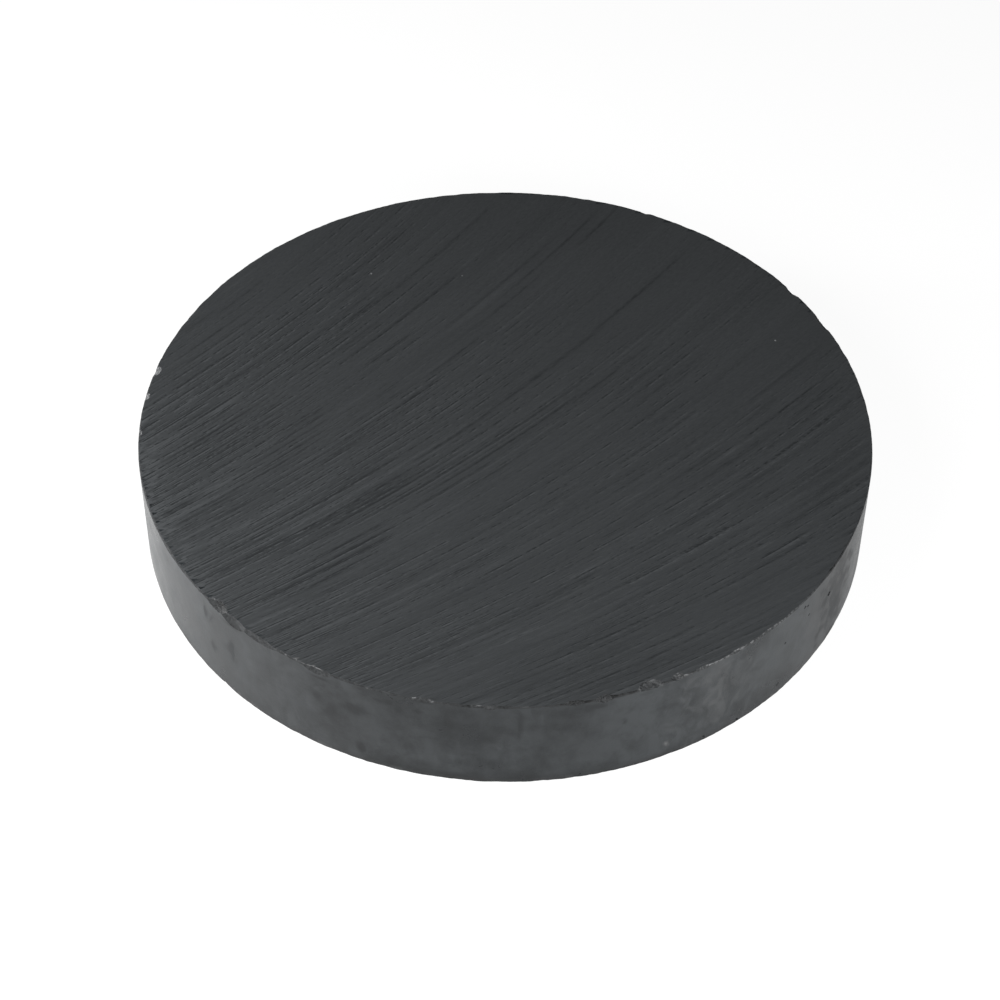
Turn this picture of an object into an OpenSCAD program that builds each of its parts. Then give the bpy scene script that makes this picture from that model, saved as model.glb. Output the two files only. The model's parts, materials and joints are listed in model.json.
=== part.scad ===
// Disc magnet: one flat round block of hard ferrite.
// The block is pressed and fired as one piece, then both faces are ground flat.
// The wall keeps its fired skin, and the brittle ground rims carry small chips.
// Units are millimetres, +Z is up, -Y is the front, and the lower face lies on z = 0.

/* [Disc] */
// Diameter of the fired wall
disc_d = 100; // [60:1:160]
// Thickness from ground face to ground face
disc_t = 15; // [8:0.5:40]

/* [Rims] */
// Width and height of the dulled arris round the upper face
top_arris = 0.2; // [0.1:0.05:0.5]
// Width and height of the dulled arris round the lower face
bottom_arris = 0.2; // [0.1:0.05:0.5]

/* [Wear] */
// Size of the chips in the rims, where 1 is as found
chip_size = 1; // [0.5:0.05:1.5]
// Size of the pits in the wall, where 1 is as found
pit_size = 1; // [0.5:0.05:1.5]

/* [Hidden] */

disc_r = disc_d / 2;
disc_sides = 180;
chip_sides = 48;

// Chips in the upper rim: angle from +X in degrees, length along the rim,
// bite into the upper face and drop down the wall
top_chips = [
    [-177.2, 1.4, 0.5, 0.3],
    [-137.2, 4.2, 1.1, 0.7],
    [-133.5, 5.5, 0.5, 1.3],
    [-128.4, 8.5, 0.35, 0.8],
    [-117.6, 5.0, 0.35, 0.9],
    [-101.3, 3.4, 0.5, 0.35],
    [-91.6, 2.0, 0.35, 0.6],
    [-79.5, 3.0, 0.5, 0.45],
    [-75.2, 2.8, 0.6, 0.8],
    [-68.2, 3.8, 1.2, 0.45],
    [-63.9, 2.2, 0.8, 0.4],
    [-59.6, 3.2, 0.3, 0.25],
    [-53.8, 2.0, 0.3, 0.25],
    [-47.6, 2.6, 0.3, 0.25],
    [25.7, 4.6, 0.6, 0.5],
    [34.6, 3.2, 0.45, 0.6],
    [65.9, 1.8, 0.3, 0.4],
    [168.6, 2.4, 0.9, 0.5],
    [174.6, 1.8, 0.6, 0.4],
];

// Chips in the lower rim: angle, length along the rim,
// bite into the lower face and rise up the wall
bottom_chips = [
    [-136.7, 1.4, 0.45, 0.4],
];

// Pits in the fired wall: angle, height as a share of the thickness, width and depth
wall_pits = [
    [-31.4, 0.68, 0.7, 0.25],
    [-37.5, 0.73, 0.4, 0.12],
    [-38.2, 0.88, 0.4, 0.12],
    [-39.0, 0.9, 0.5, 0.15],
    [-43.2, 0.64, 0.4, 0.1],
    [-43.9, 0.13, 0.6, 0.15],
    [-52.4, 0.035, 0.6, 0.2],
    [-58.7, 0.04, 0.7, 0.25],
];

// Half section of the disc, from the axis out to the wall
module half_section() {
    polygon([
        [0, 0],
        [disc_r - bottom_arris, 0],
        [disc_r, bottom_arris],
        [disc_r, disc_t - top_arris],
        [disc_r - top_arris, disc_t],
        [0, disc_t],
    ]);
}

// Offset of a chip's centre from the rim, outwards for its bite or along the axis
// for its drop, so that its sphere meets the rim over the chip's whole length
function chip_offset(length, depth) = (length * length / 4 - depth * depth) / (2 * depth);

// Shell-shaped break with its rim at z = 0 and the solid below: part of the one sphere
// that passes through both ends of the break, the end of its bite and the end of its drop
module chip(angle, length, bite, drop) {
    out = chip_offset(length, bite);
    up = chip_offset(length, drop);
    rotate([0, 0, angle])
        translate([disc_r + out, 0, up])
            sphere(r = norm([out, up, length / 2]), $fn = chip_sides);
}

// All chips of one rim
module rim_chips(rows) {
    for (row = rows)
        chip(row[0], row[1] * chip_size, row[2] * chip_size, row[3] * chip_size);
}

// Round-bottomed pit in the wall
module pit(angle, height, width, depth) {
    pit_r = (width * width / 4 + depth * depth) / (2 * depth);
    rotate([0, 0, angle])
        translate([disc_r + pit_r - depth, 0, height])
            sphere(r = pit_r, $fn = chip_sides);
}

// The whole magnet: the revolved block with its chips and pits broken out
module magnet() {
    color([0.25, 0.26, 0.27])
    difference() {
        rotate_extrude($fn = disc_sides)
            half_section();
        translate([0, 0, disc_t])
            rim_chips(top_chips);
        mirror([0, 0, 1])
            rim_chips(bottom_chips);
        for (row = wall_pits)
            pit(row[0], row[1] * disc_t, row[2] * pit_size, row[3] * pit_size);
    }
}

magnet();
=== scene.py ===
import json
import math
import bmesh
import bpy
import numpy as np
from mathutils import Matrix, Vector, noise

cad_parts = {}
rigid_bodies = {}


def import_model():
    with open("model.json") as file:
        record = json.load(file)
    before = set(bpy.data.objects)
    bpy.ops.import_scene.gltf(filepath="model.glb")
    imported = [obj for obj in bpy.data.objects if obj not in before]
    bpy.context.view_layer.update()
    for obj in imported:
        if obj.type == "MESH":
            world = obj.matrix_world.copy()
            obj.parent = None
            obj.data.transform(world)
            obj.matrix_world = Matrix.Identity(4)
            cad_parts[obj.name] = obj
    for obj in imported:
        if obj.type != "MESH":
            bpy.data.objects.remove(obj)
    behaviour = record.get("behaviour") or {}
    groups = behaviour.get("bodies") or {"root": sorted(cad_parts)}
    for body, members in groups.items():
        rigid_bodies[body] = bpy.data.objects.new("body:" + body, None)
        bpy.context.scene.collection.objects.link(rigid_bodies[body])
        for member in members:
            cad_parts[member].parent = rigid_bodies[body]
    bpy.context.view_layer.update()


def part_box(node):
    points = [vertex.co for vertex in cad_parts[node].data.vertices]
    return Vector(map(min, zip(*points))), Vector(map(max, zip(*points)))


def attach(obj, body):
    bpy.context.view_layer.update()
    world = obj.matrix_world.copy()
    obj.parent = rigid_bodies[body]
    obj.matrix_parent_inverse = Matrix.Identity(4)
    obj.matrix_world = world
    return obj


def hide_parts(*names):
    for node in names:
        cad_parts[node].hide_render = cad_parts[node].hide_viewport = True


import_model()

# Fired block
# The magnet is one round block of ferrite powder, pressed in a die and fired hard in a kiln.
# Its wall keeps the satin fired skin: a little wavy and smudged by handling, with painted shade at its
# foot and in places on the wall.
# Both rims have a narrow arris, which the brittle edge has turned ragged.
MM = 0.001
magnet_low, magnet_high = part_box("magnet")
disc_r = (magnet_high.x - magnet_low.x) / 2
disc_t = magnet_high.z - magnet_low.z
rim_steps = 1000
wall_rows = 24
row_crowding = 1.35
arris = 0.2 * MM
arris_reach = arris * 1.01
arris_least, arris_most = 0.45, 1.9
ragged_scales = ((2.2 * MM, 0.6), (0.7 * MM, 0.4))
ragged_gain, ragged_loss = 1.6, 0.3
hair = arris / 10
wave_size = 7.0 * MM
wave_height = 0.03 * MM
sharp_angle = math.radians(20)


def in_edit_mode(piece, kind, test):
    """Opens the piece in edit mode with only the parts of this kind selected that pass the test."""
    bpy.context.view_layer.objects.active = piece
    bpy.ops.object.mode_set(mode="EDIT")
    bpy.ops.mesh.select_mode(type=kind)
    bpy.ops.mesh.select_all(action="DESELECT")
    shape = bmesh.from_edit_mesh(piece.data)
    for part in {"VERT": shape.verts, "EDGE": shape.edges, "FACE": shape.faces}[kind]:
        part.select_set(test(part))
    shape.select_flush_mode()
    bmesh.update_edit_mesh(piece.data)


def rise(edge):
    """Height that an edge covers."""
    return abs(edge.verts[0].co.z - edge.verts[1].co.z)


def vertex_places(piece):
    places = np.empty(len(piece.data.vertices) * 3)
    piece.data.vertices.foreach_get("co", places)
    return places.reshape(-1, 3)


def move_vertices(piece, places):
    piece.data.vertices.foreach_set("co", places.ravel())
    piece.data.update()


bpy.ops.object.select_all(action="DESELECT")
bpy.ops.mesh.primitive_cylinder_add(
    vertices=rim_steps, radius=disc_r, depth=disc_t, location=(0, 0, disc_t / 2)
)
magnet = bpy.context.object
magnet.name = "magnet_disc"
bpy.ops.object.transform_apply(location=True, rotation=False, scale=False)

in_edit_mode(magnet, "EDGE", lambda edge: rise(edge) < hair)
bpy.ops.mesh.bevel(offset=arris, segments=2, affect="EDGES")
bpy.ops.object.mode_set(mode="OBJECT")
in_edit_mode(magnet, "EDGE", lambda edge: rise(edge) > disc_t / 2)
bpy.ops.mesh.subdivide(number_cuts=wall_rows)
bpy.ops.object.mode_set(mode="OBJECT")


def raggedness(place):
    """How far the arris has crumbled here, from 0 to 1."""
    total = sum(share * (0.5 + 0.5 * noise.noise(place / size)) for size, share in ragged_scales)
    return min(max(total * ragged_gain - ragged_loss, 0.0), 1.0)


# The rows crowd to the upper rim, where the small marks are.
places = vertex_places(magnet)
wall_height = disc_t - 2 * arris
for at in places:
    radius = math.hypot(at[0], at[1])
    face_z = disc_t if at[2] > disc_t / 2 else 0.0
    inwards = disc_r - radius
    along = at[2] - face_z
    if inwards < arris_reach and abs(along) < arris_reach:
        crumbled = arris_least + (arris_most - arris_least) * raggedness(Vector(at))
        at[:2] *= (disc_r - inwards * crumbled) / radius
        at[2] = face_z + along * crumbled
    elif inwards < hair:
        share = (disc_t - arris - at[2]) / wall_height
        at[2] = disc_t - arris - wall_height * share**row_crowding
move_vertices(magnet, places)

# The fired skin waves a little, clear of both rims.
wall_edge = arris * arris_most * 1.5
on_wall = [i for i, at in enumerate(places) if wall_edge < at[2] < disc_t - wall_edge]
wall_group = magnet.vertex_groups.new(name="wall")
wall_group.add(on_wall, 1.0, "REPLACE")
waves = bpy.data.textures.new("fired_waves", "CLOUDS")
waves.noise_scale = wave_size
bpy.ops.object.modifier_add(type="DISPLACE")
skin = magnet.modifiers[-1]
skin.texture = waves
skin.texture_coords = "GLOBAL"
skin.vertex_group = "wall"
skin.strength = wave_height
skin.mid_level = 0.5
bpy.ops.object.modifier_apply(modifier=skin.name)


def add_node(tree, kind, inputs=None, **settings):
    """Adds a shader node. An input is a plain value or the output socket that feeds it."""
    made = tree.nodes.new(kind)
    for name, value in settings.items():
        setattr(made, name, value)
    for name, value in (inputs or {}).items():
        if isinstance(value, bpy.types.NodeSocket):
            tree.links.new(value, made.inputs[name])
        else:
            made.inputs[name].default_value = value
    return made


def maths(tree, operation, first, second=0.0):
    return add_node(tree, "ShaderNodeMath", {0: first, 1: second}, operation=operation).outputs[0]


def stretched(tree, place, along_x, along_y, along_z):
    """Object coordinates drawn out by a different amount along each axis."""
    return add_node(
        tree, "ShaderNodeVectorMath", {0: place, 1: (along_x, along_y, along_z)}, operation="MULTIPLY"
    ).outputs[0]


def mapped(tree, value, from_low, from_high, to_low, to_high):
    """The value carried smoothly from one range to another and held at its ends."""
    return add_node(
        tree,
        "ShaderNodeMapRange",
        {0: value, 1: from_low, 2: from_high, 3: to_low, 4: to_high},
        interpolation_type="SMOOTHSTEP",
    ).outputs[0]


def mixed(tree, share, first, second):
    return add_node(
        tree, "ShaderNodeMix", {0: share, 6: first, 7: second}, data_type="RGBA", blend_type="MIX"
    ).outputs[2]


def cloudy(tree, place, scale, detail, roughness=0.5, distortion=0.0):
    """Soft noise from 0 to 1, with this many clouds to the metre."""
    clouds = {"Vector": place, "Scale": scale, "Detail": detail}
    edges = {"Roughness": roughness, "Distortion": distortion}
    return add_node(tree, "ShaderNodeTexNoise", {**clouds, **edges}).outputs["Fac"]


def set_bump(tree, shader, height, strength, distance):
    relief = {"Height": height, "Strength": strength, "Distance": distance}
    bump = add_node(tree, "ShaderNodeBump", relief)
    tree.links.new(bump.outputs["Normal"], shader.inputs["Normal"])


def new_material(name):
    material = bpy.data.materials.new(name)
    material.use_nodes = True
    tree = material.node_tree
    shader = tree.nodes["Principled BSDF"]
    place = add_node(tree, "ShaderNodeTexCoord").outputs["Object"]
    return material, tree, shader, place


def new_group(name, *outputs):
    """A node group that reads a place and puts out values."""
    group = bpy.data.node_groups.new(name, "ShaderNodeTree")
    group.interface.new_socket("Place", in_out="INPUT", socket_type="NodeSocketVector")
    for output in outputs:
        group.interface.new_socket(output, in_out="OUTPUT", socket_type="NodeSocketFloat")
    start = group.nodes.new("NodeGroupInput")
    end = group.nodes.new("NodeGroupOutput")
    return group, start.outputs["Place"], end


def use_group(tree, group, place):
    made = add_node(tree, "ShaderNodeGroup", node_tree=group)
    tree.links.new(place, made.inputs["Place"])
    return made.outputs


# Sintered grain shows on every surface of the magnet as a fine dark and light speckle.
grain_group, grain_place, grain_end = new_group("ferrite_grain", "Speckle", "Height")
speckle = cloudy(grain_group, grain_place, 5200.0, 2.0, 0.6)
grain_group.links.new(speckle, grain_end.inputs["Speckle"])
lumps = cloudy(grain_group, grain_place, 2600.0, 3.0, 0.7)
grain_group.links.new(lumps, grain_end.inputs["Height"])

wall_dark = (0.0133, 0.0156, 0.0173, 1)
wall_light = (0.0361, 0.0402, 0.0431, 1)
# Dark colour of the smudges and streaks; the marks also use it for painted shade.
wall_smudge_and_shade = (0.0045, 0.0055, 0.0063, 1)
wall_pale = (0.12, 0.121, 0.122, 1)
# Painted shade: the colour the wall darkens to at its foot, next to the floor.
wall_foot_shade = (0.0155, 0.0152, 0.0152, 1)
wall_shine = 0.215
wall_glossy, wall_matt = 0.26, 0.38
smudge_dullness = 0.1
skin_grain = 0.03 * MM
foot_shade_height = 1.6 * MM
mottle_scale = 120.0
blotch_scale = (420.0, 420.0, 300.0)
streak_scale = (170.0, 170.0, 40.0)
fired, tree, shader, place = new_material("fired_wall")
grain = use_group(tree, grain_group, place)
mottle = cloudy(tree, place, mottle_scale, 5.0, 0.65)
blotches = cloudy(tree, stretched(tree, place, *blotch_scale), 1.0, 4.0, distortion=0.8)
streaks = cloudy(tree, stretched(tree, place, *streak_scale), 1.0, 4.0, 0.6)
mottle_share = mapped(tree, mottle, 0.32, 0.68, 0.0, 1.0)
mottle_share = maths(tree, "ADD", mottle_share, mapped(tree, blotches, 0.3, 0.7, -0.3, 0.3))
skin_colour = mixed(tree, mottle_share, wall_dark, wall_light)
skin_colour = mixed(tree, mapped(tree, streaks, 0.55, 0.75, 0.0, 0.35), skin_colour, wall_smudge_and_shade)
speckle_share = mapped(tree, grain["Speckle"], 0.3, 0.7, 0.0, 0.12)
skin_colour = mixed(tree, speckle_share, skin_colour, wall_light)
# The marks: smudges and pale rubs, together with painted shade and painted light on the wall.
smudges_and_shade = add_node(tree, "ShaderNodeAttribute", attribute_name="marks").outputs["Fac"]
smudges_and_shade = maths(tree, "MULTIPLY", smudges_and_shade, mapped(tree, blotches, 0.36, 0.62, 0.5, 1.35))
# Darker where the marks are above zero: smudges and painted shade.
skin_colour = mixed(tree, mapped(tree, smudges_and_shade, 0.0, 1.0, 0.0, 0.6), skin_colour, wall_smudge_and_shade)
# Paler where the marks are below zero: pale rubs, and painted light where the wall is lifted.
skin_colour = mixed(tree, mapped(tree, smudges_and_shade, 0.0, -1.0, 0.0, 0.8), skin_colour, wall_pale)
wall_z = add_node(tree, "ShaderNodeSeparateXYZ", {0: place}).outputs["Z"]
# Painted shade at the foot of the wall, fading out upwards.
foot_shade_share = mapped(tree, wall_z, 0.0, foot_shade_height, 0.6, 0.0)
foot_shade_share = maths(tree, "MULTIPLY", foot_shade_share, mapped(tree, mottle, 0.3, 0.65, 0.3, 1.0))
skin_colour = mixed(tree, foot_shade_share, skin_colour, wall_foot_shade)
tree.links.new(skin_colour, shader.inputs["Base Color"])
dullness = maths(tree, "MULTIPLY", mapped(tree, smudges_and_shade, 0.1, 1.0, 0.0, 1.0), smudge_dullness)
skin_roughness = mapped(tree, mottle, 0.3, 0.7, wall_glossy, wall_matt)
skin_roughness = maths(tree, "ADD", skin_roughness, dullness)
tree.links.new(skin_roughness, shader.inputs["Roughness"])
set_bump(tree, shader, grain["Height"], 0.35, skin_grain)
shader.inputs["Specular IOR Level"].default_value = wall_shine

# Chips and pits
# Ferrite breaks like stone: knocks have taken shell-shaped flakes out of both ground rims,
# and a few pits were left in the wall when loose powder fell out in the kiln.
# The fresh break is paler and coarser than the skin.

# Chips in the rims: angle in degrees, then length along the rim, bite into the face and drop
# from it along the wall in millimetres, and roughness of the break as a share of its depth.
top_chips = (
    (-177.2, 1.4, 0.5, 0.3, 0.6),
    (-137.2, 4.2, 1.1, 0.7, 0.5),
    (-133.5, 5.5, 0.5, 1.3, 0.15),
    (-128.4, 8.5, 0.35, 0.8, 0.15),
    (-117.6, 5.0, 0.35, 0.9, 0.15),
    (-101.3, 3.4, 0.5, 0.35, 0.5),
    (-91.6, 2.0, 0.35, 0.6, 0.4),
    (-79.5, 3.0, 0.5, 0.45, 0.6),
    (-75.2, 2.8, 0.6, 0.8, 0.7),
    (-68.2, 3.8, 1.2, 0.45, 0.7),
    (-63.9, 2.2, 0.8, 0.4, 0.8),
    (-59.6, 3.2, 0.3, 0.25, 0.7),
    (-53.8, 2.0, 0.3, 0.25, 0.7),
    (-47.6, 2.6, 0.3, 0.25, 0.7),
    (25.7, 4.6, 0.6, 0.5, 0.5),
    (34.6, 3.2, 0.45, 0.6, 0.5),
    (65.9, 1.8, 0.3, 0.4, 0.5),
    (168.6, 2.4, 0.9, 0.5, 0.6),
    (174.6, 1.8, 0.6, 0.4, 0.6),
)
bottom_chips = ((-136.7, 1.4, 0.45, 0.4, 0.5),)
# Pits in the wall: angle, height as a share of the thickness, width and depth in millimetres.
wall_pits = (
    (-31.4, 0.68, 0.7, 0.25),
    (-37.5, 0.73, 0.4, 0.12),
    (-38.2, 0.88, 0.4, 0.12),
    (-39.0, 0.9, 0.5, 0.15),
    (-43.2, 0.64, 0.4, 0.1),
    (-43.9, 0.13, 0.6, 0.15),
    (-52.4, 0.035, 0.6, 0.2),
    (-58.7, 0.04, 0.7, 0.25),
)
# Pale specks in the upper face: X and Y in millimetres.
face_specks = ((-19.8, 31.0), (-6.6, 30.8), (38.0, 17.7))
speck_r = 0.16 * MM
speck_depth = 0.07 * MM
break_size = 0.3 * MM
break_grain = 0.08 * MM
chip_fineness = 5
pit_fineness = 3
break_dark = (0.02, 0.0212, 0.0222, 1)
break_light = (0.043, 0.0452, 0.047, 1)
break_pale = (0.15, 0.153, 0.156, 1)
# Painted shade, with some dirt, for the cracks and undercuts along the arris.
crevice_shade_and_dirt = (0.0045, 0.0048, 0.005, 1)
break_roughness = 0.6
break_shine = 0.25

broken, tree, shader, place = new_material("fresh_break")
grain = use_group(tree, grain_group, place)
crystals = cloudy(tree, place, 2300.0, 2.0, 0.6)
break_colour = mixed(tree, mapped(tree, crystals, 0.35, 0.65, 0.0, 1.0), break_dark, break_light)
rubs_and_shade = add_node(tree, "ShaderNodeAttribute", attribute_name="marks").outputs["Fac"]
rubs_and_shade = maths(tree, "MULTIPLY", rubs_and_shade, mapped(tree, crystals, 0.38, 0.66, 0.3, 1.4))
break_colour = mixed(tree, mapped(tree, rubs_and_shade, 0.0, -1.0, 0.0, 1.0), break_colour, break_pale)
# Darker where the marks are above zero: painted shade in the cracks and under the chips.
break_colour = mixed(tree, mapped(tree, rubs_and_shade, 0.0, 1.0, 0.0, 0.95), break_colour, crevice_shade_and_dirt)
tree.links.new(break_colour, shader.inputs["Base Color"])
shader.inputs["Roughness"].default_value = break_roughness
shader.inputs["Specular IOR Level"].default_value = break_shine
set_bump(tree, shader, grain["Height"], 0.8, break_grain)

rough_break = bpy.data.textures.new("rough_break", "CLOUDS")
rough_break.noise_scale = break_size
rough_break.noise_depth = 3
cutters = bpy.data.collections.new("cutters")
bpy.context.scene.collection.children.link(cutters)


def as_cutter(piece, material):
    """Puts a piece with the other cutters. What it cuts takes its material."""
    for other in list(piece.users_collection):
        other.objects.unlink(piece)
    cutters.objects.link(piece)
    piece.data.materials.append(material)


def break_out(angle, inwards, centre_z, size, rough, fineness):
    """Adds a lump that breaks a hollow out of the disc, with its middle this far in from the wall."""
    bpy.ops.object.select_all(action="DESELECT")
    bpy.ops.mesh.primitive_ico_sphere_add(subdivisions=fineness, radius=1.0)
    lump = bpy.context.object
    turn = math.radians(angle)
    lump.scale = size
    lump.rotation_euler = (0, 0, turn)
    middle = disc_r - inwards
    lump.location = (middle * math.cos(turn), middle * math.sin(turn), centre_z)
    bpy.ops.object.transform_apply(location=True, rotation=True, scale=True)
    bpy.ops.object.modifier_add(type="DISPLACE")
    crumble = lump.modifiers[-1]
    crumble.texture = rough_break
    crumble.texture_coords = "GLOBAL"
    crumble.strength = rough
    bpy.ops.object.modifier_apply(modifier=crumble.name)
    as_cutter(lump, broken)


# A chip is scooped by a lump that meets the rim over the chip's length, the face at the end
# of its bite and the wall at the end of its drop, with its middle one bite out and one drop away.
reach = math.sqrt(5)
rim_share = math.sqrt(0.6)
for rows, face_z, away in ((top_chips, disc_t, 1), (bottom_chips, 0.0, -1)):
    for angle, length, bite, drop, rough in rows:
        length, bite, drop = length * MM, bite * MM, drop * MM
        size = (reach * bite, length / 2 / rim_share, reach * drop)
        crumbled = rough * min(bite, drop)
        break_out(angle, -bite, face_z + away * drop, size, crumbled, chip_fineness)
for angle, height, width, depth in wall_pits:
    width, depth = width * MM, depth * MM
    size = (depth, width / 2, width / 2)
    break_out(angle, 0.0, height * disc_t, size, depth / 2, pit_fineness)
for x, y in face_specks:
    angle = math.degrees(math.atan2(y, x))
    inwards = disc_r - math.hypot(x, y) * MM
    size = (speck_r, speck_r, speck_depth)
    break_out(angle, inwards, disc_t, size, speck_depth / 2, pit_fineness)

# Ground faces
# Both faces are ground flat by the rim of a wide cup wheel while the disc feeds past it.
# Every wheel line is therefore the same arc, set over along the feed, and the lines come in bands.
wheel_r = 280.0 * MM
wheel_y = 200.0 * MM
line_step = 0.11 * MM
hidden_line_step = 5 * line_step
arc_step = 2.4 * MM
sheet_margin = 1.5 * MM
sheet_lift = 2.0 * MM
face_depth = 0.02 * MM
least_depth = 0.005 * MM
# Passes of the wheel: pitch, half width and depth of its lines, then their shortest and longest run.
line_passes = (
    (2.1 * MM, 0.16 * MM, 0.008 * MM, 4.0 * MM, 12.0 * MM),
    (0.95 * MM, 0.08 * MM, 0.0045 * MM, 3.0 * MM, 8.0 * MM),
)
uneven = (0.8, 1.2)
stray_share = 0.06
ridge_to_groove = (-0.85, 0.8)
score_reach = 12
# The lines are strong and weak in patches, and strongest at the front left.
patch_size = (13.0 * MM, 34.0 * MM)
patch_middle, patch_swing = 0.85, 1.4
patch_least, patch_most = 0.35, 1.5
middle_strength, least_strength = 0.85, 0.3
front_gain, left_gain = 0.45, 0.3
left_edge, left_edge_gain = 0.25, 0.6
# The lines that stand out on the upper face: place along the feed, start and end along the arc
# from the back of the disc, half width and depth, all in millimetres, depth in thousandths
# and below zero for a ridge.
strong_lines = (
    (-257.2, 26, 37, 0.12, 8),
    (-253.8, 36, 50, 0.12, 9),
    (-251.6, 34, 53, 0.12, 10),
    (-251.0, 40, 52, 0.1, -8),
    (-247.0, 58, 64, 0.1, -8),
    (-246.1, 13, 20, 0.16, 6),
    (-244.9, 59, 67, 0.12, -8),
    (-242.0, 49, 62, 0.12, 8),
    (-239.6, 28, 36, 0.12, 8),
    (-237.9, 29, 38, 0.12, 8),
    (-236.8, 5, 39, 0.2, 8),
    (-236.4, 61, 70, 0.12, 9),
    (-235.8, 40, 49, 0.2, 8),
    (-233.5, 29, 36, 0.15, -5),
    (-233.5, 60, 80, 0.11, 10),
    (-232.4, 64, 80, 0.11, 10),
    (-231.2, 60, 76, 0.12, 9),
    (-231.2, 17, 24, 0.2, -5),
    (-230.6, 24, 50, 0.18, 8),
    (-229.3, 53, 82, 0.1, 9),
    (-228.8, 57, 82, 0.1, -8),
    (-228.1, 64, 82, 0.12, 10),
    (-227.6, 14, 18, 0.14, 6),
    (-226.6, 40, 50, 0.2, 8),
    (-224.0, 61, 70, 0.14, 9),
    (-222.7, 12, 42, 0.16, 6),
    (-222.6, 62, 79, 0.12, 9),
    (-221.7, 24, 42, 0.35, -5),
    (-221.0, 64, 80, 0.12, 10),
    (-220.8, 87, 94, 0.12, 11),
    (-220.4, 7, 30, 0.16, 9),
    (-219.0, 69, 80, 0.12, 10),
    (-218.6, 24, 40, 0.14, 6),
    (-218.3, 83, 96, 0.1, -8),
    (-218.0, 7, 16, 0.16, 11),
    (-217.6, 70, 95, 0.1, 9),
    (-216.3, 42, 52, 0.12, 9),
    (-214.3, 62, 84, 0.14, 9),
    (-214.1, 54, 62, 0.16, 10),
    (-213.0, 83, 98, 0.16, 10),
    (-208.6, 80, 100, 0.12, 8),
    (-207.9, 79, 105, 0.4, -10),
    (-203.7, 73, 107, 0.15, 10),
    (-201.5, 17, 40, 0.2, 9),
    (-201.3, 55, 112, 0.12, -11),
    (-201.0, 38, 66, 0.2, 9),
    (-200.5, 62, 78, 0.16, 11),
    (-199.2, 76, 112, 0.14, 13),
    (-197.9, 80, 108, 0.75, 6),
    (-196.4, 74, 98, 0.14, 13),
    (-195.8, 66, 95, 0.1, -8),
    (-194.0, 58, 98, 0.13, 11),
    (-193.6, 58, 100, 0.1, -8),
    (-191.9, 58, 86, 0.13, 12),
    (-191.3, 42, 60, 0.12, 8),
    (-190.6, 94, 107, 0.15, 15),
    (-190.1, 76, 93, 0.13, 11),
    (-189.5, 56, 92, 0.12, -6),
    (-188.5, 95, 113, 0.15, 15),
    (-187.6, 72, 86, 0.12, 8),
    (-186.7, 49, 58, 0.2, 4),
    (-186.6, 98, 118, 0.22, 15),
    (-185.1, 87, 96, 0.12, -6),
    (-184.4, 49, 66, 0.25, 4),
    (-184.1, 104, 118, 0.16, 10),
    (-182.2, 44, 63, 0.25, 5),
    (-169.2, 99, 116, 0.2, 4),
    (-168.0, 42, 60, 0.15, -3),
    (-167.4, 42, 60, 0.25, 4),
    (-166.2, 99, 127, 0.18, -4),
    (-164.6, 56, 66, 0.25, 4),
    (-163.6, 102, 121, 0.2, 4),
    (-161.3, 49, 70, 0.3, 4),
    (-158.5, 52, 86, 0.35, 4),
    (-156.2, 55, 92, 0.35, 4),
    (-153.3, 57, 68, 0.3, 4),
    (-151.8, 92, 113, 0.16, 6),
    (-151.6, 62, 95, 0.25, 4),
    (-151.0, 108, 140, 0.2, 4),
    (-150.6, 110, 128, 0.1, -4),
    (-150.1, 110, 129, 0.14, 6),
    (-146.3, 66, 86, 0.35, 3),
    (-143.9, 86, 106, 0.2, -3),
    (-143.7, 70, 86, 0.4, 4),
    (-141.5, 114, 132, 0.12, -3),
    (-140.9, 112, 134, 0.2, 4),
    (-140.8, 73, 89, 0.4, 6),
    (-138.1, 79, 96, 0.35, 6),
    (-136.0, 120, 140, 0.3, 3),
    (-134.4, 124, 142, 0.3, 4),
    (-133.0, 112, 134, 0.25, 4),
    (-132.3, 96, 114, 0.25, 4),
    (-129.7, 128, 150, 0.45, 4),
    (-126.2, 131, 149, 0.45, 4),
    (-122.6, 129, 149, 0.45, 4),
    (-119.8, 129, 147, 0.4, 4),
)

first_turn = math.asin((wheel_y - disc_r - sheet_margin) / wheel_r)
last_turn = math.asin((wheel_y + disc_r + sheet_margin) / wheel_r)


def line_strength(feed, middle, seed):
    """How hard the wheel has scored the face at the middle of a line."""
    turn = first_turn + middle / wheel_r
    across = (feed + wheel_r * math.cos(turn)) / disc_r
    back = (wheel_y - wheel_r * math.sin(turn)) / disc_r
    patch = noise.noise(Vector((feed / patch_size[0], middle / patch_size[1], seed)))
    patch = min(max(patch_middle + patch_swing * patch, patch_least), patch_most)
    slope = middle_strength - front_gain * back - left_gain * across
    slope += left_edge_gain * max(0.0, -across - left_edge)
    return patch * max(slope, least_strength)


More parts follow.
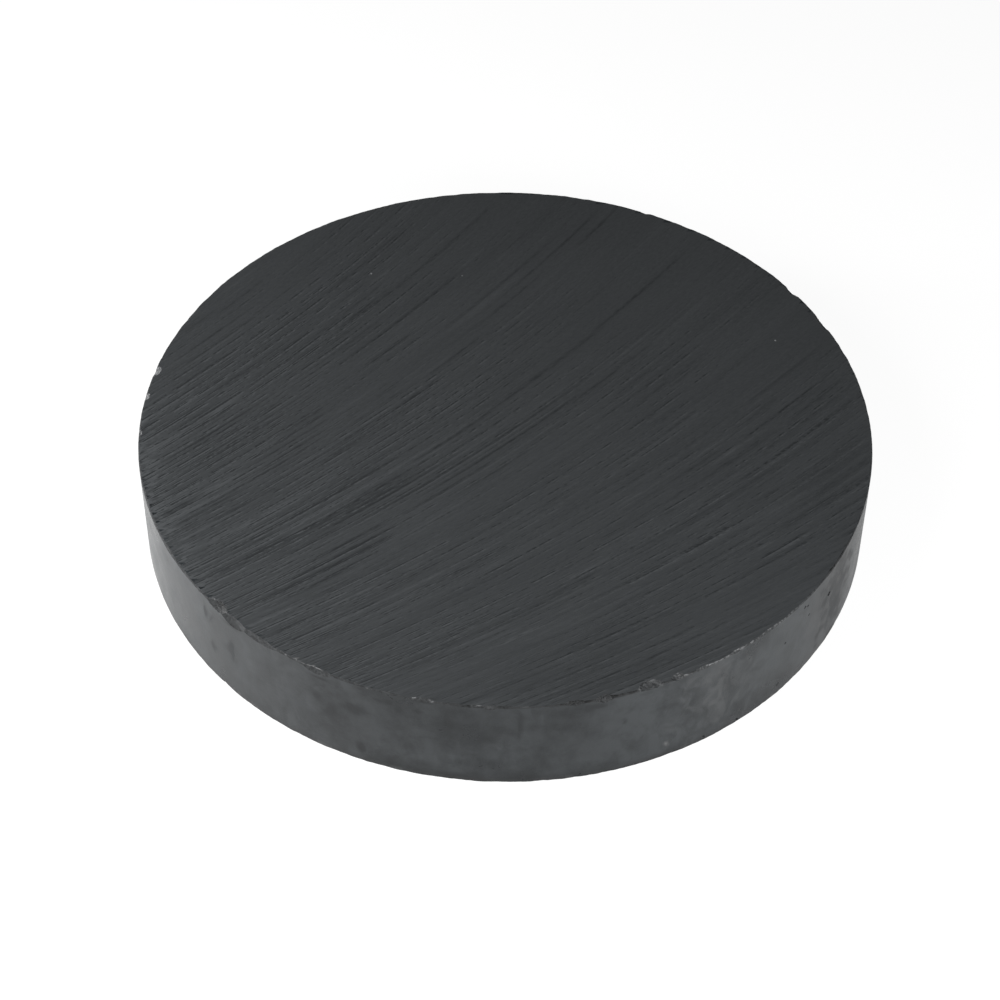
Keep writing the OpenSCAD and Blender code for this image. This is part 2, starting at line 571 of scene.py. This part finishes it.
def wheel_lines(feeds, turns, seed, strong):
    """Depth of the ground face for each turn of the wheel and each place along the feed."""
    draw = np.random.default_rng(seed)
    arcs = (turns - first_turn) * wheel_r
    depth = np.full((len(turns), len(feeds)), face_depth)
    squeeze = np.cos(turns)[:, None]

    def score(feed, start, end, half_width, deep):
        middle, length = (start + end) / 2, end - start
        rows = np.abs(arcs - middle) < length / 2
        near = np.abs(feeds - feed) < score_reach * half_width
        fade = np.sqrt(np.cos((arcs[rows] - middle) / length * math.pi))[:, None]
        across = squeeze[rows] * (feeds[near] - feed) / half_width
        depth[np.ix_(rows, near)] += deep * fade * np.exp(-0.5 * across**2)

    for pitch, half_width, deep, shortest, longest in line_passes:
        feed = feeds[0]
        while feed < feeds[-1]:
            feed += pitch * draw.uniform(*uneven)
            start = -draw.uniform(0, longest)
            while start < arcs[-1]:
                end = start + draw.uniform(shortest, longest)
                strayed = feed + pitch * draw.normal(0, stray_share)
                scored = deep * draw.uniform(*ridge_to_groove)
                scored *= line_strength(feed, (start + end) / 2, seed)
                score(strayed, start, end, half_width * draw.uniform(*uneven), scored)
                start = end + draw.uniform(0, shortest)
    for feed, start, end, half_width, deep in strong:
        score(feed * MM, start * MM, end * MM, half_width * MM, deep * MM / 1000)
    return np.maximum(depth, least_depth)


def grind(face_z, away, step, material, seed, strong):
    """Adds the swept sheet that a grinding pass leaves, closed on the side away from the disc."""
    feed_low = -disc_r - sheet_margin - wheel_r * math.cos(first_turn)
    feed_high = disc_r + sheet_margin - wheel_r * math.cos(last_turn)
    columns = int((feed_high - feed_low) / step)
    rows = int((last_turn - first_turn) * wheel_r / arc_step)
    bpy.ops.object.select_all(action="DESELECT")
    bpy.ops.mesh.primitive_grid_add(x_subdivisions=columns, y_subdivisions=rows, size=2)
    sheet = bpy.context.object
    feeds = np.linspace(feed_low, feed_high, columns + 1)
    turns = np.linspace(first_turn, last_turn, rows + 1)
    turn_grid, feed_grid = np.meshgrid(turns, feeds, indexing="ij")
    depth = wheel_lines(feeds, turns, seed, strong)
    swept = np.stack(
        [
            feed_grid + wheel_r * np.cos(turn_grid),
            wheel_y - wheel_r * np.sin(turn_grid),
            face_z - away * depth,
        ],
        axis=-1,
    )
    move_vertices(sheet, swept.reshape(-1, 3))
    beyond = disc_r + sheet_margin
    in_edit_mode(sheet, "VERT", lambda v: math.hypot(v.co.x, v.co.y) > beyond)
    bpy.ops.mesh.delete(type="VERT")
    bpy.ops.mesh.select_all(action="SELECT")
    bpy.ops.mesh.delete_loose()
    bpy.ops.mesh.select_all(action="SELECT")
    bpy.ops.mesh.extrude_region_move(TRANSFORM_OT_translate={"value": (0, 0, away * sheet_lift)})
    bpy.ops.mesh.select_all(action="SELECT")
    bpy.ops.mesh.normals_make_consistent(inside=False)
    bpy.ops.object.mode_set(mode="OBJECT")
    as_cutter(sheet, material)


lines_group, lines_place, lines_end = new_group("wheel_lines", "Fine", "Dash", "Comb", "Broad")


def lines_maths(operation, first, second=0.0):
    """One step of arithmetic in the group of the wheel lines."""
    return maths(lines_group, operation, first, second)


# Where a place lies along the feed: its X less that of the wheel's arc at its Y.
lines_axes = add_node(lines_group, "ShaderNodeSeparateXYZ", {0: lines_place}).outputs
from_wheel = lines_maths("SUBTRACT", lines_axes["Y"], wheel_y)
arc_x = lines_maths("SUBTRACT", wheel_r**2, lines_maths("MULTIPLY", from_wheel, from_wheel))
arc_x = lines_maths("SQRT", arc_x)
line_feed = lines_maths("SUBTRACT", lines_axes["X"], arc_x)
swept_place = add_node(
    lines_group, "ShaderNodeCombineXYZ", {0: line_feed, 1: lines_axes["Y"], 2: lines_axes["Z"]}
).outputs[0]
through_face = 60.0


def swept_noise(along_feed, along_line, detail):
    """Noise drawn out along the wheel lines."""
    drawn_out = stretched(lines_group, swept_place, along_feed, along_line, through_face)
    return cloudy(lines_group, drawn_out, 1.0, detail, 0.65)


# A scratch wobbles, lies anywhere in the middle of its own strip and breaks up into dashes.
comb_wobble = 0.6
strip_start, strip_width = 0.3, 0.4
bright_offset = 2.2
bright_level = 0.7
dash_gap, dash_full = 0.42, 0.58
faintest_scratch = 0.3
strip_seed = 7.31


def comb(pitch, dash_length, half_width):
    """Thin broken scratches side by side, each dark with a bright edge, from -1 to 1."""
    wobble = lines_maths("MULTIPLY", swept_noise(90.0, 35.0, 1.0), comb_wobble)
    cell = lines_maths("ADD", lines_maths("DIVIDE", line_feed, pitch), wobble)
    number = lines_maths("FLOOR", cell)
    chance = add_node(
        lines_group, "ShaderNodeTexWhiteNoise", {"W": number}, noise_dimensions="1D"
    ).outputs
    shift = add_node(lines_group, "ShaderNodeSeparateColor", {0: chance["Color"]}).outputs["Green"]
    shift = lines_maths("MULTIPLY", shift, strip_width)
    off_line = lines_maths("SUBTRACT", lines_maths("SUBTRACT", cell, number), strip_start)
    off_line = lines_maths("MULTIPLY", lines_maths("SUBTRACT", off_line, shift), pitch)
    off_edge = lines_maths("SUBTRACT", off_line, half_width * bright_offset)
    off_line = lines_maths("ABSOLUTE", off_line)
    off_edge = lines_maths("ABSOLUTE", off_edge)
    dark = mapped(lines_group, off_line, half_width * 0.4, half_width * 1.4, 1.0, 0.0)
    bright = mapped(lines_group, off_edge, half_width * 0.4, half_width * 1.6, bright_level, 0.0)
    own_noise = lines_maths("MULTIPLY", number, strip_seed)
    along = lines_maths("DIVIDE", lines_axes["Y"], dash_length)
    dash_place = add_node(lines_group, "ShaderNodeCombineXYZ", {0: own_noise, 1: along}).outputs[0]
    dash = cloudy(lines_group, dash_place, 1.0, 2.0, 0.6)
    dash = mapped(lines_group, dash, dash_gap, dash_full, 0.0, 1.0)
    strength = mapped(lines_group, chance["Value"], 0.0, 1.0, faintest_scratch, 1.0)
    strength = lines_maths("MULTIPLY", dash, strength)
    return lines_maths("MULTIPLY", strength, lines_maths("SUBTRACT", bright, dark))


def weighted(lines, axis, weak_at, strong_at, weak, strong):
    """The lines with a strength that grows along an axis of the disc, between places in millimetres."""
    weight = mapped(lines_group, lines_axes[axis], weak_at * MM, strong_at * MM, weak, strong)
    return lines_maths("MULTIPLY", lines, weight)


# Sets of scratches: pitch, dash length and half width in millimetres, then where along X
# they are weakest and strongest, in millimetres, and their strength at both.
scratch_sets = (
    (0.95, 1.3, 0.085, 10, -43, 0.35, 2.7),
    (2.1, 1.7, 0.15, 10, -43, 0.7, 3.4),
    (2.75, 7.0, 0.36, -10, 30, 0.15, 0.4),
)
combs = 0.0
for pitch, dash_length, half_width, *growth in scratch_sets:
    scratches = comb(pitch * MM, dash_length * MM, half_width * MM)
    combs = lines_maths("ADD", combs, weighted(scratches, "X", *growth))
combs = weighted(combs, "Y", 38, -18, 0.22, 1.1)
patches = mapped(lines_group, swept_noise(75.0, 28.0, 1.0), 0.36, 0.62, 0.3, 1.3)
beads = mapped(lines_group, swept_noise(1500.0, 2400.0, 1.0), 0.36, 0.64, 0.15, 1.6)
combs = lines_maths("MULTIPLY", lines_maths("MULTIPLY", combs, patches), beads)
lines_group.links.new(combs, lines_end.inputs["Comb"])
lines_group.links.new(swept_noise(170.0, 40.0, 2.0), lines_end.inputs["Broad"])
lines_group.links.new(swept_noise(2300.0, 1500.0, 3.0), lines_end.inputs["Fine"])
lines_group.links.new(swept_noise(1600.0, 800.0, 3.0), lines_end.inputs["Dash"])

face_dark = (0.0163, 0.018, 0.0193, 1)
face_light = (0.0564, 0.0603, 0.0633, 1)
face_shine = 0.26
face_glossy, face_matt = 0.5, 0.62
face_grain = 0.03 * MM
fine_share = 0.65
broad_share = 0.35
tone_span = 1.1
# Width of the band of painted light along the left front of the rim.
rim_light_width = 4.5 * MM
ground, tree, shader, place = new_material("ground_face")
grain = use_group(tree, grain_group, place)
lines = use_group(tree, lines_group, place)
axes = add_node(tree, "ShaderNodeSeparateXYZ", {0: place}).outputs

# A groove is darker than the face and a ridge is lighter.
from_middle = maths(tree, "ABSOLUTE", maths(tree, "SUBTRACT", axes["Z"], disc_t / 2))
ground_off = maths(tree, "SUBTRACT", disc_t / 2, from_middle)
tone = maths(tree, "DIVIDE", maths(tree, "SUBTRACT", face_depth, ground_off), face_depth)
tone = maths(tree, "MULTIPLY", tone, mapped(tree, lines["Dash"], 0.36, 0.64, 0.5, 1.5))
for output, share in (("Fine", fine_share), ("Broad", broad_share)):
    drift = maths(tree, "SUBTRACT", lines[output], 0.5)
    tone = maths(tree, "ADD", tone, maths(tree, "MULTIPLY", drift, share))
tone = maths(tree, "ADD", tone, lines["Comb"])

# Painted light: the left front of the rim is lighter, where the main lamp falls.
flat_place = stretched(tree, place, 1.0, 1.0, 0.0)
from_axis = add_node(tree, "ShaderNodeVectorMath", {0: flat_place}, operation="LENGTH")
painted_rim_light = mapped(tree, from_axis.outputs["Value"], disc_r - rim_light_width, disc_r, 0.0, 1.0)
for weight in (
    mapped(tree, axes["X"], -0.6 * disc_r, -0.95 * disc_r, 0.0, 1.0),
    mapped(tree, axes["Y"], 0.1 * disc_r, -0.2 * disc_r, 0.0, 1.0),
    mapped(tree, lines["Dash"], 0.46, 0.62, 0.0, 1.6),
):
    painted_rim_light = maths(tree, "MULTIPLY", painted_rim_light, weight)
tone = maths(tree, "ADD", tone, painted_rim_light)
face_colour = mixed(tree, mapped(tree, tone, -tone_span, tone_span, 0.0, 1.0), face_dark, face_light)
tree.links.new(face_colour, shader.inputs["Base Color"])
face_roughness = mapped(tree, lines["Fine"], 0.3, 0.7, face_matt, face_glossy)
tree.links.new(face_roughness, shader.inputs["Roughness"])
face_height = maths(tree, "ADD", lines["Fine"], maths(tree, "MULTIPLY", grain["Height"], 0.5))
set_bump(tree, shader, face_height, 0.5, face_grain)
shader.inputs["Specular IOR Level"].default_value = face_shine

grind(disc_t, 1, line_step, ground, 11, strong_lines)
grind(0.0, -1, hidden_line_step, ground, 12, ())

# Finished magnet
# The chips, pits and ground faces are taken out of the fired block, which stays one piece.
# Both arrises show the fresh break, and handling has left smudges and pale rubs on the wall. The same
# marks also paint shade under the chips, in the cracks of the arris and along the foot, and broad bands
# of painted shade and light on the wall.
arris_flattest, arris_steepest = 0.95, 0.15
fired_slot, broken_slot = 0, 1
for material in (fired, broken, ground):
    magnet.data.materials.append(material)
for face in magnet.data.polygons:
    on_arris = arris_steepest < abs(face.normal.z) < arris_flattest
    face.material_index = broken_slot if on_arris else fired_slot
bpy.ops.object.select_all(action="DESELECT")
bpy.context.view_layer.objects.active = magnet
magnet.select_set(True)
bpy.ops.object.modifier_add(type="BOOLEAN")
cut = magnet.modifiers[-1]
cut.operation = "DIFFERENCE"
cut.operand_type = "COLLECTION"
cut.collection = cutters
cut.solver = "MANIFOLD"
cut.material_mode = "TRANSFER"
bpy.ops.object.modifier_apply(modifier=cut.name)
for lump in list(cutters.objects):
    bpy.data.objects.remove(lump)
bpy.data.collections.remove(cutters)
bpy.ops.object.shade_smooth_by_angle(angle=sharp_angle)

# Marks on the wall: angle in degrees, drop below the upper rim, half width and half height
# in millimetres, and strength, which is below zero for a paler mark.
wall_marks = (
    (-152.0, 2.3, 0.8, 0.8, 0.5),
    (-140.2, 2.6, 0.4, 1.3, 0.9),
    (-138.0, 3.2, 1.4, 1.8, 0.35),
    (-134.0, 6.0, 0.9, 2.2, 0.5),
    (-138.7, 8.7, 0.6, 0.7, 1.1),
    # Painted shadow under the chips at the upper rim.
    (-134.2, 1.5, 1.8, 0.25, 0.9),
    (-130.5, 0.95, 2.0, 0.2, 0.7),
    (-128.6, 8.5, 0.9, 0.3, 0.5),
    (-128.4, 10.0, 0.9, 0.3, 0.4),
    (-117.2, 1.3, 1.5, 0.25, 1.1),
    (-116.7, 2.6, 0.4, 0.3, 0.7),
    (-110.3, 0.6, 0.9, 0.25, 0.8),
    (-108.3, 2.0, 0.6, 0.4, 1.0),
    (-106.6, 1.8, 0.5, 0.3, 1.0),
    (-104.7, 2.9, 0.5, 0.6, 0.9),
    (-102.1, 2.3, 0.5, 0.5, 0.8),
    (-117.8, 5.2, 1.0, 0.8, 0.7),
    (-112.3, 5.0, 1.9, 0.9, 0.8),
    (-115.5, 7.2, 1.2, 1.3, 0.7),
    (-117.0, 11.0, 2.4, 3.0, 0.35),
    (-111.0, 12.4, 0.6, 0.7, 1.2),
    (-106.4, 13.7, 0.8, 0.9, 1.2),
    # Painted shade along the foot of the front wall.
    (-99.0, 14.3, 6.0, 1.0, 0.6),
    (-109.0, 7.0, 8.0, 9.0, 0.3),
    # Painted shade: these four broad bands darken the wall where the lamps light it too much, the first
    # one against the main lamp at the top of the front wall.
    (-91.0, 2.0, 9.0, 5.0, 0.55),
    (-77.5, 7.0, 6.0, 9.0, 0.3),
    (-135.0, 7.0, 6.0, 9.0, 0.4),
    (-148.0, 7.0, 4.0, 9.0, 0.3),
    # Painted shade along the foot of the front wall.
    (-90.0, 13.9, 6.0, 1.3, 0.5),
    (-97.8, 4.2, 0.8, 1.2, 0.5),
    (-92.5, 6.6, 1.4, 0.7, 0.5),
    (-87.4, 4.5, 0.3, 2.6, 0.5),
    (-84.5, 11.0, 1.6, 3.0, 0.45),
    (-79.6, 1.6, 1.6, 1.0, 0.8),
    (-75.4, 1.2, 1.6, 0.5, 0.7),
    (-72.0, 5.2, 0.4, 0.5, 0.6),
    (-65.0, 12.3, 0.4, 0.3, -0.9),
    (-84.2, 2.6, 0.3, 0.9, -0.5),
    (-46.8, 13.2, 0.8, 0.7, 1.0),
    (-53.5, 11.5, 0.6, 0.8, 0.5),
    (-34.5, 3.0, 0.8, 2.0, 0.6),
    # Painted shade for the darker reflection along the right flank, then painted light that lifts the
    # wall around -57 degrees.
    (-28.0, 7.0, 4.4, 9.0, 1.4),
    (-57.0, 6.0, 6.0, 9.0, -0.26),
    # Along the arris: marks above zero paint shade in its cracks, and marks below zero make it paler.
    (-177.2, 0.1, 0.6, 0.3, -0.8),
    (-138.6, 0.0, 0.5, 0.2, -1.0),
    (-137.4, 0.25, 0.9, 0.2, 0.7),
    (-130.5, 0.0, 3.0, 0.15, -0.35),
    (-121.5, 0.0, 2.2, 0.12, -0.7),
    (-118.2, 0.05, 1.0, 0.15, -1.3),
    (-110.3, 0.1, 0.4, 0.2, 0.9),
    (-109.5, 0.15, 0.5, 0.12, -0.8),
    (-102.4, 0.0, 0.7, 0.12, -1.0),
    (-100.2, 0.1, 0.5, 0.12, -0.8),
    (-101.0, 0.4, 0.8, 0.12, 0.8),
    (-95.0, 0.1, 0.5, 0.25, 0.8),
    (-93.4, 0.0, 0.8, 0.1, -0.9),
    (-91.6, 0.3, 0.5, 0.25, -0.6),
    (-87.5, 0.0, 0.9, 0.12, -0.6),
    (-79.0, 0.05, 1.7, 0.2, 1.2),
    (-80.7, 0.0, 0.25, 0.15, -0.9),
    (-73.6, 0.05, 1.5, 0.25, 1.0),
    (-70.6, 0.05, 0.9, 0.2, 0.9),
    (-69.8, 0.05, 0.25, 0.2, -1.2),
    (-67.5, 0.1, 1.4, 0.3, -0.25),
    (-65.6, 0.0, 0.7, 0.15, 1.0),
    (-63.6, 0.1, 0.7, 0.2, -0.3),
    (-52.0, 0.0, 8.0, 0.15, -0.8),
    (168.6, 0.1, 1.2, 0.5, -1.2),
    (174.6, 0.1, 0.9, 0.5, -1.2),
)
warp_share = 0.7
warp_size = 1.6 * MM
warp_offset = Vector((31.7, 5.3, 12.9))
speck_pale = 1.5
speck_spread = 0.4
places = vertex_places(magnet)
angles = np.degrees(np.arctan2(places[:, 1], places[:, 0]))
drops = (disc_t - places[:, 2]) / MM
spots = [Vector(at) / warp_size for at in places]
warps = np.array([(noise.noise(spot), noise.noise(spot + warp_offset)) for spot in spots]) * warp_share
marked = np.zeros(len(places))
for angle, drop, half_width, half_height, strength in wall_marks:
    along = np.radians(angles - angle) * disc_r / MM / half_width + warps[:, 0]
    below = (drops - drop) / half_height + warps[:, 1]
    marked += strength * np.exp(-(along**2) - below**2)
for x, y in face_specks:
    from_speck = np.hypot(places[:, 0] / MM - x, places[:, 1] / MM - y)
    marked -= speck_pale * np.exp(-((from_speck / speck_spread) ** 2))
marks = magnet.data.attributes.new("marks", "FLOAT", "POINT")
marks.data.foreach_set("value", marked)
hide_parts("magnet")
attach(magnet, "root")

# Floor
# A wide sheet of plain white paper that the magnet lies on.
# It looks white to the camera and in the magnet's shine, and keeps the magnet's soft shadow.
floor_size = 6.0
paper_white = (0.93, 0.93, 0.93, 1)
paper_roughness = 0.9
paper_shine = 0.1
glow_level = 1.1
glow_seen, glow_mirrored = 0.8, 0.14
bpy.ops.mesh.primitive_plane_add(size=floor_size, location=(0, 0, 0))
floor = bpy.context.object
floor.name = "floor"
paper, tree, shader, place = new_material("white_paper")
shader.inputs["Base Color"].default_value = paper_white
shader.inputs["Roughness"].default_value = paper_roughness
shader.inputs["Specular IOR Level"].default_value = paper_shine
ray = add_node(tree, "ShaderNodeLightPath").outputs
mirrored = maths(tree, "MAXIMUM", ray["Is Glossy Ray"], ray["Is Transmission Ray"])
mirrored = maths(tree, "MULTIPLY", mirrored, glow_mirrored)
seen = maths(tree, "MULTIPLY", ray["Is Camera Ray"], glow_seen)
glow = add_node(tree, "ShaderNodeEmission", {"Strength": glow_level}).outputs[0]
glowing = maths(tree, "MAXIMUM", seen, mirrored)
surface = add_node(tree, "ShaderNodeMixShader", {0: glowing, 1: shader.outputs[0], 2: glow})
tree.links.new(surface.outputs[0], tree.nodes["Material Output"].inputs["Surface"])
floor.data.materials.append(paper)

# Light
# An even surround, and one soft lamp close by to the front left as the main light.
# A smaller lamp low at the left and one at the front right stand in for white cards.
surround_level = 0.13
world = bpy.data.worlds.new("surround")
bpy.context.scene.world = world
world.use_nodes = True
surround = world.node_tree.nodes["Background"]
surround.inputs["Color"].default_value = (1, 1, 1, 1)
surround.inputs["Strength"].default_value = surround_level


def soft_lamp(name, place, aim_z, size, power):
    """Adds a round lamp that points at this height on the disc's axis."""
    bpy.ops.object.light_add(type="AREA", location=place)
    lamp = bpy.context.object
    lamp.name = name
    lamp.data.shape = "DISK"
    lamp.data.size = size
    lamp.data.energy = power
    towards = Vector((0, 0, aim_z)) - Vector(place)
    lamp.rotation_euler = towards.to_track_quat("-Z", "Y").to_euler()


soft_lamp("key", (-0.107, -0.075, 0.119), disc_t, 0.14, 0.27)
soft_lamp("left_card", (-0.19, 0.051, 0.041), disc_t / 2, 0.05, 0.3)
soft_lamp("right_card", (0.15, -0.158, 0.111), disc_t / 2, 0.1, 0.44)

# Camera
# It stands in front of the magnet, about 360 mm away, and looks down on it at about 46 degrees.
# Its place, turn and lens are those that fit the outline of the disc in the photo.
camera_place = (0.0, -0.2542, 0.2628)
camera_turn = (44.06, -0.43, 0.59)
camera_lens = 93.4
camera_sensor = 36.0
bpy.ops.object.camera_add(location=camera_place, rotation=[math.radians(a) for a in camera_turn])
camera = bpy.context.object
camera.data.lens = camera_lens
camera.data.sensor_width = camera_sensor
camera.data.clip_start = 0.01
bpy.context.scene.camera = camera
bpy.context.scene.view_settings.view_transform = "Standard"
